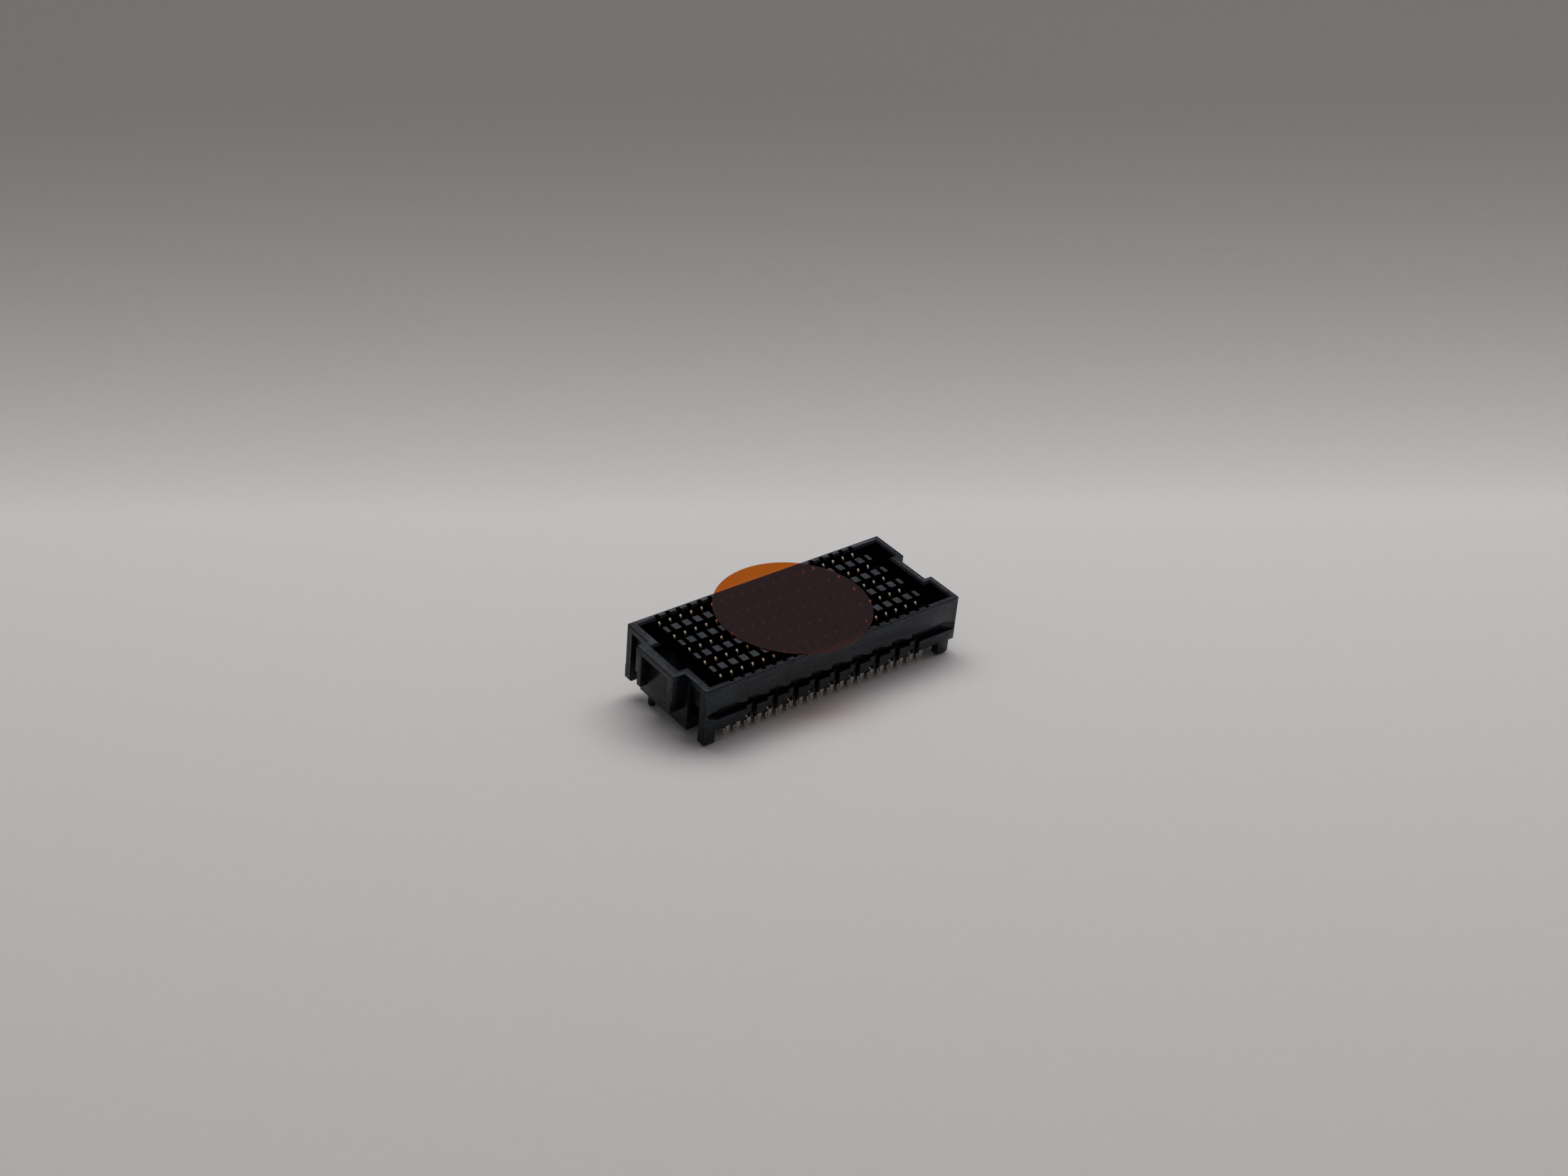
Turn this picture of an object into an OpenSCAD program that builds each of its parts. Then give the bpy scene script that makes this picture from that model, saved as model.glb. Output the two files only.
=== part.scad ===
// High density array connector: a moulded housing with five mating channels, ten rows of stamped
// spring contacts, a solder charge on every tail and a round pick and place film on the rim.
// Lengths are in millimetres. X runs along the rows, Y points to the back wall and Z points up.
// The origin is the middle of the contact array, on the board plane that the corner feet stand on.

/* [Contact array] */
// Spacing of neighbouring contacts, along a row and from row to row
pitch = 1.27; // [1.24:0.01:1.36]
// Contacts in each row
columns = 20; // [8:2:30]

/* [Housing] */
// Height of the rim above the feet
body_h = 6.4; // [6.2:0.1:7.4]
// Depth of the mating channels below the rim
channel_d = 2.2; // [1.9:0.05:2.3]
// Height of the underside above the feet
underside_z = 1.38; // [1.25:0.05:1.6]
// Thickness of each comb rib
rib_t = 0.98; // [0.9:0.02:1.0]
// Width of a divider post along its row
post_w = 0.8; // [0.72:0.02:0.82]
// Width of the last post of a rib, outside its last contact
end_post_w = 0.5; // [0.4:0.05:0.8]
// Thickness of the web between the contacts of one rib
web_t = 0.22; // [0.16:0.02:0.28]
// Drop of that web below the rim
web_drop = 1.5; // [1.2:0.05:1.7]
// Thickness of each long wall
wall_t = 0.72; // [0.66:0.02:0.9]
// Wall left behind a contact slot
skin_t = 0.22; // [0.18:0.02:0.3]
// Width of the lead-in slope inside the rim
lead_in_w = 0.22; // [0.16:0.02:0.3]
// Drop of the lead-in slope
lead_in_h = 0.24; // [0.16:0.02:0.4]
// Radius of the upright outer corners
corner_r = 0.16; // [0.1:0.02:0.3]

/* [Left end] */
// Room between the ribs and the left wall
left_room = 1.51; // [1.3:0.05:2.2]
// Thickness of the left wall
left_wall_t = 0.99; // [0.9:0.03:1.2]
// Reach of the polarising key beyond the left wall
key_reach = 1.28; // [1.1:0.02:1.6]
// Half width of the key
key_half = 3.1; // [2.9:0.05:3.4]
// Height of the key
key_h = 4.4; // [4.1:0.1:4.6]
// Height of the lip on top of the key
lip_h = 0.75; // [0.6:0.05:1.0]
// Width of each fin beside the key's hollow
fin_w = 0.95; // [0.8:0.05:1.1]
// Depth of the hollow between the fins
hollow_d = 0.7; // [0.5:0.05:0.75]
// Height of the fins' wide upper part
fin_step_h = 3.0; // [2.4:0.1:3.4]
// Set back of the fins below that part
fin_step = 0.3; // [0.2:0.05:0.4]
// Depth of the key's recess inside the rim
key_recess = 1.02; // [0.8:0.02:1.1]
// Half width of that recess
key_recess_half = 2.22; // [1.9:0.04:2.3]
// Half width of the end block that carries the key
block_half = 3.9; // [3.6:0.05:4.2]
// Width of each corner post
corner_post = 0.92; // [0.8:0.02:1.1]
// Height of the flange above the end pockets
flange_h = 0.7; // [0.6:0.05:1.0]
// Depth of the end pockets
pocket_d = 0.45; // [0.3:0.05:0.45]
// Depth of the end pockets below the channel floor
pocket_low_d = 1.0; // [0.8:0.05:1.2]

/* [Right end] */
// Room between the ribs and the right wall
right_room = 2.5; // [2.1:0.05:3.0]
// Thickness of the right wall
right_wall_t = 0.67; // [0.6:0.02:0.9]
// Depth of the polarising notch in the right wall
notch_d = 0.86; // [0.6:0.02:0.95]
// Half width of the notch outside
notch_half = 2.22; // [2.0:0.02:2.6]
// Wall beside the notch
notch_side = 0.6; // [0.5:0.05:0.8]

/* [Side relief] */
// Depth of the relief along each long side
relief_d = 0.68; // [0.5:0.02:0.7]
// Distance of the relief from the ends of the side
relief_inset = 0.17; // [0.12:0.01:0.3]
// Length over which the relief runs out at its ends
relief_run = 1.4; // [1.0:0.05:1.6]
// Top of the relief's arches below the rim
arch_z = 2.55; // [2.5:0.05:2.65]
// Height of the arches
arch_h = 0.38; // [0.25:0.01:0.45]
// Height of the open strip between the arches and the tall blocks
strip_h = 0.47; // [0.4:0.01:0.55]
// Rise of the tall blocks above the wide ones
block_step = 0.37; // [0.25:0.01:0.45]
// Width of a tooth between two arches, at its foot
tooth_w = 0.7; // [0.5:0.02:0.8]
// Length of the slope on a tooth's left side
tooth_slope = 0.86; // [0.5:0.02:0.9]
// Distance of a tooth's steep side from the next slit
tooth_gap = 1.04; // [0.9:0.02:1.1]
// Offset of each slit from its contact
slit_shift = 0.46; // [0.4:0.02:0.5]
// Width of the slit beside each tall block
slit_w = 0.18; // [0.14:0.01:0.24]
// Width of a tall block
tall_w = 1.07; // [0.9:0.01:1.15]
// Width of the slanted facet on a tall block
facet_w = 0.5; // [0.3:0.02:0.6]
// Depth of that facet at the slit
facet_d = 0.28; // [0.15:0.01:0.35]
// Width of the notch under each tall block
tail_notch_w = 0.46; // [0.3:0.02:0.5]
// Height of that notch
tail_notch_h = 0.52; // [0.3:0.02:0.6]

/* [Feet and pins] */
// Length of each corner foot along the side
foot_l = 1.4; // [1.1:0.05:1.6]
// Bevel on the lower edges of the feet
foot_bevel = 0.18; // [0.1:0.02:0.3]
// Clearance of the end skirts above the board
skirt_gap = 0.25; // [0.15:0.05:0.4]
// Length of the end skirts along the row
skirt_l = 1.7; // [1.4:0.05:1.8]
// Diameter of the alignment pins
pin_d = 0.76; // [0.6:0.02:1.0]
// Reach of the pins below the board plane
pin_reach = 1.45; // [1.0:0.05:1.8]
// Bevel at the end of a pin
pin_bevel = 0.12; // [0.08:0.02:0.18]
// Distance of the pins from the end walls
pin_inset = 0.9; // [0.7:0.05:1.0]
// Distance of the pins behind the middle
pin_back = 3.05; // [2.4:0.05:3.1]

/* [Contacts] */
// Width of a contact strip
contact_w = 0.36; // [0.3:0.01:0.4]
// Width of a contact at its narrowed tip
tip_w = 0.22; // [0.18:0.01:0.28]
// Thickness of a contact strip
contact_t = 0.15; // [0.12:0.01:0.16]
// Drop of the contact tips below the rim
tip_drop = 0.46; // [0.38:0.01:0.55]
// Bend radius of a tip, on its outer face
tip_r = 0.5; // [0.4:0.02:0.6]
// Angle that a tip bends through
tip_bend = 60; // [45:5:60]
// Lead of a tip's crown beyond the shank's outer face
crown_lead = 0.1; // [0.02:0.01:0.14]
// Side clearance of a shank in the housing
shank_clear = 0.03; // [0.02:0.01:0.04]

/* [Solder charges] */
// Width of a solder charge
charge_w = 0.78; // [0.66:0.02:0.84]
// Height of a solder charge
charge_h = 1.12; // [1.0:0.02:1.2]
// Reach of the charges below the feet
charge_drop = 0.25; // [0.1:0.05:0.3]
// Depth of the crimp groove on each face
groove_d = 0.13; // [0.08:0.01:0.16]
// Width of the crimp groove at its mouth
groove_w = 0.15; // [0.1:0.01:0.18]
// Width of the crimp groove at its foot
groove_foot = 0.06; // [0.04:0.01:0.1]
// Offset of the groove from the middle of the charge
groove_shift = 0.13; // [0.08:0.01:0.16]
// Drop of the short prong beside the groove
prong_drop = 0.25; // [0.1:0.05:0.3]
// Height of the closed foot of the charge
charge_foot = 0.3; // [0.24:0.02:0.36]
// Solder left between the groove and the tail
charge_skin = 0.05; // [0.04:0.01:0.08]

/* [Pick and place film] */
// Diameter of the film
film_d = 16; // [13.5:0.5:20]
// Thickness of the film
film_t = 0.1; // [0.06:0.02:0.2]
// Offset of the film along the rows
film_x = 0.3; // [-1:0.1:1]
// Offset of the film towards the back wall
film_y = 0.5; // [-0.6:0.1:0.6]

/* [Hidden] */
$fn = 48;

// Cutters run past the faces that they open by this much
over = 0.5;
// Ribs are rooted this far into the floor
root = 0.3;

channels = 5;
rows = 2 * channels;
rib_pitch = 2 * pitch;
slot_w = pitch - post_w;

// Heights
floor_z = body_h - channel_d;
web_z = body_h - web_drop;

// Across: the long walls are half ribs with an outer skin
wall_mid = channels * pitch;
wall_in = wall_mid - rib_t / 2;
wall_out = wall_in + wall_t;

// Along: contacts, ribs, walls
field_half = (columns - 1) / 2 * pitch;
rib_half = field_half + slot_w / 2 + end_post_w;
left_in = -rib_half - left_room;
left_out = left_in - left_wall_t;
right_in = rib_half + right_room;
right_out = right_in + right_wall_t;
key_out = left_out - key_reach;

// The feet stand under the left wall and, on the right, inside the overhanging wall
foot_left = left_out;
foot_right = right_in;

// Side relief: heights above the board, and ends
arch_top = body_h - arch_z;
strip_top = arch_top - arch_h;
strip_low = strip_top - strip_h;
block_top = strip_low - block_step;
relief_left = left_out + relief_inset;
relief_right = right_out - relief_inset;

// Contacts
shank_u = pitch / 2;
shank_out = shank_u + contact_t / 2;
crown_u = shank_out + crown_lead;
crown_z = body_h - tip_drop - tip_r * sin(tip_bend);
taper_z = floor_z + 0.3;
charge_low = -charge_drop;
tail_low = charge_low + charge_foot;
charge_t = contact_t + 2 * (charge_skin + groove_d);

// Place of column i along the row
function column_x(i) = (i - (columns - 1) / 2) * pitch;
// Right side of the slit beside column i
function slit_x(i) = column_x(i) + slit_shift;
// Place across of rib k, where the first and the last are the long walls
function rib_y(k) = (k - channels / 2) * rib_pitch;
// Points of an arc about a centre, from angle a to angle b in n steps
function arc(c, r, a, b, n) = [for (s = [0:n]) c + r * [cos(a + (b - a) * s / n), sin(a + (b - a) * s / n)]];

// Box between two corners
module box(low, high) {
    translate(low) cube(high - low);
}

// Rectangle with rounded corners between two corners, drawn flat
module round_rect(low, high, r) {
    translate(low + [r, 0]) square(high - low - [2 * r, 0]);
    translate(low + [0, r]) square(high - low - [0, 2 * r]);
    for (x = [low.x + r, high.x - r], y = [low.y + r, high.y - r]) translate([x, y]) circle(r);
}

// Flat shape in X and Z, raised along Y from y to y + depth
module side_plate(y, depth) {
    translate([0, y + depth, 0]) rotate([90, 0, 0]) linear_extrude(depth) children();
}

// Flat shape in Y and Z, raised along X from x to x + depth
module end_plate(x, depth) {
    translate([x, 0, 0]) rotate([90, 0, 90]) linear_extrude(depth) children();
}

// Repeats a shape for the front and the back
module both_sides() {
    children();
    mirror([0, 1, 0]) children();
}

// Outer body with the polarising notch in its right wall
module body_block() {
    translate([0, 0, underside_z]) linear_extrude(body_h - underside_z) difference() {
        round_rect([left_out, -wall_out], [right_out, wall_out], corner_r);
        translate([right_out - notch_d, -notch_half]) square([notch_d + over, 2 * notch_half]);
    }
}

// Polarising key on the left end: a lip and two stepped fins round a hollow
module key_block() {
    fin_in = key_half - fin_w;
    difference() {
        union() {
            box([key_out, -key_half, body_h - fin_step_h], [left_out + over, key_half, body_h]);
            box([key_out, -key_half + fin_step, body_h - key_h],
                [left_out + over, key_half - fin_step, body_h - fin_step_h + root]);
        }
        box([key_out - over, -fin_in, body_h - key_h - over], [key_out + hollow_d, fin_in, body_h - lip_h]);
    }
}

// Skirts below both ends, each with its alignment pin
module skirts() {
    for (end = [[left_out, left_out + skirt_l], [foot_right - skirt_l, foot_right]])
        box([end[0], -block_half, skirt_gap], [end[1], block_half, underside_z + root]);
    for (x = [left_out + pin_inset, foot_right - pin_inset]) translate([x, pin_back, -pin_reach]) {
        cylinder(h = pin_bevel, d1 = pin_d - 2 * pin_bevel, d2 = pin_d);
        translate([0, 0, pin_bevel]) cylinder(h = pin_reach + skirt_gap + root - pin_bevel, d = pin_d);
    }
}

// Corner foot, its lower edges bevelled
module foot(x, outward) {
    b = foot_bevel;
    side_plate(-wall_out, corner_post) polygon([
        [x, underside_z + root], [x, b * (1 - outward)], [x + b * (1 - outward), 0],
        [x + foot_l - b * outward, 0], [x + foot_l, b * outward], [x + foot_l, underside_z + root]]);
}

module feet() {
    both_sides() {
        foot(foot_left, 0);
        foot(foot_right - foot_l, 1);
    }
}

// Lead-in slopes above a rectangular space, mitred at its corners
module lead_in(low, high) {
    z = body_h - lead_in_h;
    w = lead_in_w;
    intersection() {
        side_plate(low.y - over, high.y - low.y + 2 * over) polygon([
            [low.x, z], [high.x, z], [high.x + w, body_h], [high.x + w, body_h + over],
            [low.x - w, body_h + over], [low.x - w, body_h]]);
        end_plate(low.x - over, high.x - low.x + 2 * over) polygon([
            [low.y, z], [high.y, z], [high.y + w, body_h], [high.y + w, body_h + over],
            [low.y - w, body_h + over], [low.y - w, body_h]]);
    }
}

// Inner side of the polarising notch, its upper edges sloped like the rest of the rim
module notch_wall() {
    x = right_in - notch_d;
    y = notch_half + notch_side;
    z = body_h - lead_in_h;
    w = lead_in_w;
    intersection() {
        side_plate(-y, 2 * y) polygon([
            [x, floor_z - over], [x, z], [x + w, body_h], [x + w, body_h + 2 * over],
            [right_in + over, body_h + 2 * over], [right_in + over, floor_z - over]]);
        end_plate(x, notch_d + over) polygon([
            [-y, floor_z - over], [-y, z], [w - y, body_h], [w - y, body_h + 2 * over],
            [y - w, body_h + 2 * over], [y - w, body_h], [y, z], [y, floor_z - over]]);
    }
}

// Mating space inside the rim, with the key's recess on the left and the notch's wall on the right
module mating_space() {
    space = [[left_in, -wall_in], [right_in, wall_in]];
    recess = [[left_in - key_recess, -key_recess_half], [left_in + over, key_recess_half]];
    difference() {
        for (s = [space, recess]) {
            box([s[0].x, s[0].y, floor_z], [s[1].x, s[1].y, body_h + over]);
            lead_in(s[0], s[1]);
        }
        notch_wall();
    }
}

// Contact slots in the long walls
module wall_slots() {
    both_sides() for (i = [0:columns - 1])
        box([column_x(i) - slot_w / 2, wall_in - over, floor_z],
            [column_x(i) + slot_w / 2, wall_out - skin_t, body_h + over]);
}

// Front view of the relief: toothed arches above a strip, tall and wide blocks below it, and slits
module relief_view() {
    difference() {
        polygon([[relief_left, strip_top], [relief_left + relief_run, arch_top],
            [relief_right - relief_run, arch_top], [relief_right, strip_top], [relief_right, block_top],
            [relief_left + relief_run, block_top], [relief_left + relief_run / 3, strip_low]]);
        for (i = [2:2:columns - 2]) translate([slit_x(i) - tooth_gap, 0]) polygon([
            [0, arch_top + over], [0, strip_top], [-tooth_w, strip_top], [-tooth_w - tooth_slope, arch_top],
            [-tooth_w - tooth_slope, arch_top + over]]);
        for (i = [2:2:columns - 2]) translate([slit_x(i) - slit_w - tall_w, block_top - over])
            square([tall_w, strip_low - block_top + over]);
    }
    for (i = [2:2:columns - 2]) translate([slit_x(i) - slit_w, underside_z - over]) {
        square([slit_w, strip_low - underside_z + over]);
        translate([-tall_w, 0]) square([tail_notch_w, tail_notch_h + over]);
    }
}

// Plan of the slanted facets beside the slits
module facet_plan() {
    for (i = [2:2:columns - 2]) translate([slit_x(i) - slit_w, -wall_out]) polygon([
        [slit_w, -over], [slit_w, facet_d], [0, facet_d], [-facet_w, 0], [-facet_w, -over]]);
}

// Cutter for the relief of the front side, shallower towards both corners
module side_relief() {
    intersection() {
        side_plate(-wall_out - over, relief_d + over) relief_view();
        translate([0, 0, underside_z - over]) linear_extrude(body_h) polygon([
            [relief_left, -wall_out - over], [relief_left, -wall_out],
            [relief_left + relief_run, -wall_out + relief_d],
            [relief_right - relief_run, -wall_out + relief_d],
            [relief_right, -wall_out], [relief_right, -wall_out - over]]);
    }
    translate([0, 0, underside_z - over]) linear_extrude(strip_low - underside_z + over) facet_plan();
}

// Pockets of the left end, between the end block and the corner posts, under a flange
module end_pockets() {
    both_sides() {
        box([left_out - over, -wall_out + corner_post, underside_z - over],
            [left_out + pocket_d, -block_half, body_h - flange_h]);
        box([left_out - over, -wall_out + corner_post, underside_z - over],
            [left_out + pocket_low_d, -block_half, floor_z - flange_h]);
    }
}

// Openings in the floor that the shanks are pressed through
module shank_holes() {
    translate([0, 0, underside_z - over]) linear_extrude(floor_z - underside_z + 2 * over)
        for (i = [0:columns - 1], k = [0:channels - 1], s = [-1, 1])
            translate([column_x(i), rib_y(k + 0.5) + s * (rib_pitch / 2 - shank_u)])
                square([contact_w + 2 * shank_clear, contact_t], center = true);
}

// Comb rib: divider posts on a low web
module rib() {
    translate([0, 0, floor_z - root]) linear_extrude(web_z - floor_z + root) difference() {
        square([2 * rib_half, rib_t], center = true);
        for (i = [0:columns - 1], s = [-1, 1]) translate([column_x(i), s * rib_t / 2])
            square([slot_w, rib_t - web_t], center = true);
    }
    translate([0, 0, web_z - root]) linear_extrude(body_h - web_z + root) difference() {
        square([2 * rib_half, rib_t], center = true);
        for (i = [0:columns - 1]) translate([column_x(i), 0]) square([slot_w, rib_t + over], center = true);
    }
}

module housing() {
    color("#26282b") {
        difference() {
            union() {
                body_block();
                key_block();
                skirts();
                feet();
            }
            mating_space();
            wall_slots();
            both_sides() side_relief();
            end_pockets();
            shank_holes();
        }
        for (k = [1:channels - 1]) translate([0, rib_y(k), 0]) rib();
    }
}

// Side view of a contact: distance out from the middle of its rib, and height
module contact_view() {
    bend = crown_u - tip_r;
    polygon(concat(
        [[shank_out, tail_low], [shank_out, floor_z]],
        arc([bend, crown_z], tip_r, 0, tip_bend, 6),
        arc([bend, crown_z], tip_r - contact_t, tip_bend, 0, 6),
        [[shank_out - contact_t, floor_z], [shank_out - contact_t, tail_low]]));
}

// Front outline of a contact, which narrows towards its tip
module contact_front() {
    w = contact_w / 2;
    tip = tip_w / 2;
    polygon([[-w, tail_low - over], [w, tail_low - over], [w, taper_z], [tip, crown_z], [tip, body_h],
        [-tip, body_h], [-tip, crown_z], [-w, taper_z]]);
}

module contact() {
    intersection() {
        end_plate(-contact_w, 2 * contact_w) contact_view();
        side_plate(0, pitch) contact_front();
    }
}

// Row r counts from the front wall; even and odd rows stand on opposite faces of the ribs
function row_rib(r) = floor((r + 1) / 2);
function row_side(r) = r % 2 == 0 ? 1 : -1;

module contact_row(r) {
    color("#c8a04a") translate([0, rib_y(row_rib(r)), 0]) for (i = [0:columns - 1])
        translate([column_x(i), 0, 0]) mirror([0, row_side(r) < 0 ? 1 : 0, 0]) contact();
}

// Solder charge with a round foot, crimped on a tail; a groove in each face parts off a short prong
module charge() {
    r = charge_w / 2;
    top = charge_low + charge_h;
    difference() {
        side_plate(-charge_t / 2, charge_t) {
            translate([0, charge_low + r]) circle(r);
            translate([-r, charge_low + r]) square([charge_w, charge_h - r]);
        }
        both_sides() side_plate(-charge_t / 2 - over, groove_d + over) polygon([
            [-groove_shift - groove_foot / 2, charge_low + charge_foot],
            [-groove_shift + groove_foot / 2, charge_low + charge_foot],
            [-groove_shift + groove_w / 2, top], [-groove_shift + groove_w / 2, top + over],
            [-groove_shift - groove_w / 2, top + over], [-groove_shift - groove_w / 2, top]]);
        box([-charge_w, -charge_t, top - prong_drop],
            [-contact_w / 2 - charge_skin / 2, charge_t, top + over]);
        box([-contact_w / 2, -contact_t / 2, tail_low], [contact_w / 2, contact_t / 2, top + over]);
    }
}

module solder_row(r) {
    color("#b9bcc0") translate([0, rib_y(row_rib(r)) + row_side(r) * shank_u, 0]) for (i = [0:columns - 1])
        translate([column_x(i), 0, 0]) charge();
}

module pick_and_place_film() {
    color("#c46c18") translate([film_x, film_y, body_h]) cylinder(h = film_t, d = film_d, $fn = 96);
}

housing();
contact_row(0);  // contact_row_01
contact_row(1);  // contact_row_02
contact_row(2);  // contact_row_03
contact_row(3);  // contact_row_04
contact_row(4);  // contact_row_05
contact_row(5);  // contact_row_06
contact_row(6);  // contact_row_07
contact_row(7);  // contact_row_08
contact_row(8);  // contact_row_09
contact_row(9);  // contact_row_10
solder_row(0);  // solder_row_01
solder_row(1);  // solder_row_02
solder_row(2);  // solder_row_03
solder_row(3);  // solder_row_04
solder_row(4);  // solder_row_05
solder_row(5);  // solder_row_06
solder_row(6);  // solder_row_07
solder_row(7);  // solder_row_08
solder_row(8);  // solder_row_09
solder_row(9);  // solder_row_10
pick_and_place_film();
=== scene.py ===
from math import cos, pi, radians, sin

import bmesh
import bpy
from mathutils import Matrix, Vector


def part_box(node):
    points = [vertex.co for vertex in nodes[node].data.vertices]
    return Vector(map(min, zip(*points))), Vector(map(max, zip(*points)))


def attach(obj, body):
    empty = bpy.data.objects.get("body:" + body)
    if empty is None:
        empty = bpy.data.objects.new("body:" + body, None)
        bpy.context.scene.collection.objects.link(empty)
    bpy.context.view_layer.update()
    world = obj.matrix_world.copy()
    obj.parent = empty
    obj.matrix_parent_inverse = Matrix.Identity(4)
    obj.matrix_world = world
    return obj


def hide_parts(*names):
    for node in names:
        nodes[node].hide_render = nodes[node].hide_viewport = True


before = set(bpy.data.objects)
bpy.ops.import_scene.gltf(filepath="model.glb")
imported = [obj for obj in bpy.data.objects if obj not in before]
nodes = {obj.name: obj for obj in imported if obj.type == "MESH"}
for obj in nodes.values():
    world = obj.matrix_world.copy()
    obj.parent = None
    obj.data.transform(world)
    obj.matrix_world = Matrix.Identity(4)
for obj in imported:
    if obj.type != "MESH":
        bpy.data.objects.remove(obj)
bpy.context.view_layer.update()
scene = bpy.context.scene

# Lengths are named in millimetres, and MM turns them into the scene's metres
MM = 0.001

# Contact array
PITCH = 1.27
COLUMNS = 20
ROWS = sum(name.startswith("contact_row") for name in nodes)

# Contact strip: heights above the board, distances out from the shank's middle, and the bend at its tip
strip_low, strip_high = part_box("contact_row_01")
STRIP_WIDTH = 0.36
STRIP_THICKNESS = 0.15
STRIP_CHAMFER = 0.028
STRIP_FOOT = strip_low.z / MM
CHANNEL_FLOOR = 4.2
TAPER_START = 4.5
TIP_WIDTH = 0.22
TIP_RADIUS = 0.425
TIP_BEND = radians(60)
TIP_STEPS = 6
CROWN_OUT = 0.10
CROWN_HEIGHT = strip_high.z / MM - (TIP_RADIUS + STRIP_THICKNESS / 2) * sin(TIP_BEND)

# Groove in the faces of a solder charge, and the least depth at which a face lies down in it
GROOVE_SHIFT = 0.13
GROOVE_WIDTH = 0.17
GROOVE_SUNK = 0.01

# Film disc
film_low, film_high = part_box("pick_and_place_film")
FILM_MIDDLE = (film_low + film_high) / 2 / MM
FILM_RADIUS = (film_high.y - film_low.y) / 2 / MM

# Housing: its outer faces, with the key standing out from the left one, and the distance within which a
# point counts as lying on one of them
housing_low, housing_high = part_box("housing")
RIM_TOP = housing_high.z / MM
WALL_OUT = housing_high.y / MM
RIGHT_OUT = housing_high.x / MM
KEY_OUT = housing_low.x / MM
KEY_REACH = 1.28
LEFT_OUT = KEY_OUT + KEY_REACH
NEAR = 0.1

# Housing: half sizes of the field of ribs, and the distance from the middle where its ends start
FIELD_HALF_X = 13.3
FIELD_HALF_Y = 5.95
END_FROM = 14.0

# Housing: a height over its underside, one below its lead-ins, and the depth of the key's front
UNDERSIDE_TOP = 2.1
LEAD_IN_FOOT = 5.5
KEY_FRONT = 0.38

# Left tips of the relief in the long sides, which run out beside the rounded corners
RELIEF_TIP = -14.3
RELIEF_LOW = 3.0
RELIEF_HIGH = 3.8

# Parts of a normal that tell how a face lies: sloping up, level, endways, or flat rather than upright
SLOPING = 0.2
LEVEL = 0.99
ENDWAYS = 0.9
FLAT = 0.7

# Edge rounding, and the least angle between two faces whose edge is rounded or chamfered
RIM_ROUND = 0.11
OUTER_ROUND = 0.06
INNER_ROUND = 0.04
ROUND_STEPS = 2
ROUNDED_ANGLE = radians(30)
CHARGE_CHAMFER = 0.035
CHAMFERED_ANGLE = radians(50)

# Joining of CAD triangles into whole faces, and the angles up to which faces shade as one
WELD = 0.0002
FLAT_ANGLE = radians(0.6)
HOUSING_SHADE = radians(20)
METAL_SHADE = radians(30)

# Finishes of the housing, in the order of its material slots; INSIDE holds painted shade and POST_TOP
# painted light
OUTSIDE, EDGE, POST_TOP, INSIDE, RIM, END = range(6)

# Spans of a noise's values that a finish stretches over its own range, from a hard change to a gentle one
CRISP = (0.38, 0.62)
EVEN = (0.35, 0.65)
GENTLE = (0.3, 0.7)

# The range of a factor, and the same range turned round
WHOLE = (0.0, 1.0)
TURNED = (1.0, 0.0)

# Moulded plastic: stretch of its flow marks, depth of its grain, refraction, tint of its sheen, share by
# which the sheen changes from place to place, and the near-black painted shade below the film's disc
FLOW_STRETCH = (0.5, 2.0, 1.5)
MOULD_GRAIN = 0.03
PLASTIC_IOR = 1.52
SHEEN_TINT = (0.76, 0.86, 1.0, 1.0)
SHEEN_CHANGE = 0.30
UNDER_FILM_SHADE_BLACK = (0.001, 0.001, 0.001)

# Contact plating from the tail up: the height at which each colour is reached, and the colour
PLATING = (
    (1.5, (0.74, 0.73, 0.71)),
    # The two dark stops are the shank's nickel, darkened far below its own colour as painted shade in the
    # slots
    (1.8, (0.12, 0.11, 0.10)),
    (5.36, (0.10, 0.085, 0.07)),
    (5.56, (0.88, 0.72, 0.56)),
)
PLATING_ROUGHNESS = (0.24, 0.36)
PLATING_GRAIN = 0.004

# Painted shade on the plating below the film: a dimmer, bluer colour, and the inset and width of the
# change to it
PLATING_FILM_SHADE = (0.30, 0.40, 0.43)
PLATING_SHADE_INSET = 0.5
PLATING_SHADE_SOFT = 0.6

# Solder: worn and bright metal, painted shade down in the grooves, and depth of its dents
SOLDER_WORN = (0.66, 0.63, 0.58)
SOLDER_BRIGHT = (0.86, 0.83, 0.78)
SOLDER_GROOVE_SHADE = (0.10, 0.09, 0.08)
SOLDER_ROUGHNESS = (0.18, 0.36)
SOLDER_DENTS = 0.01

# Film: deep and pale tint of the light that passes, colour of the gloss, refraction and depth of its waves
FILM_DEEP = (0.762, 0.361, 0.02)
FILM_PALE = (0.80, 0.385, 0.03)
FILM_GLOSS = (0.95, 0.61, 0.66, 1.0)
FILM_ROUGHNESS = (0.08, 0.14)
FILM_IOR = 1.5
FILM_WAVES = 0.03

# Film past the back wall: the share of its gloss that is left there, and the width of the change to it
OVERHANG_GLOSS = 0.5
OVERHANG_FADE = 0.3

# Paper of the stage
PAPER_GREY = (0.51, 0.495, 0.492)
PAPER_PALE = (0.53, 0.515, 0.512)
PAPER_ROUGHNESS = 0.9
PAPER_SHEEN = 0.1

# Camera: direction and roll of its view, lens and sensor, place, and how near and far it sees
VIEW_AZIMUTH = radians(-40.125)
VIEW_ELEVATION = radians(33.547)
VIEW_ROLL = radians(5.292)
LENS = 56.74
SENSOR = 36.0
CAMERA_PLACE = Vector((-130.81, -153.45, 142.70))
CLIP_NEAR = 5
CLIP_FAR = 5000

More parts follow.
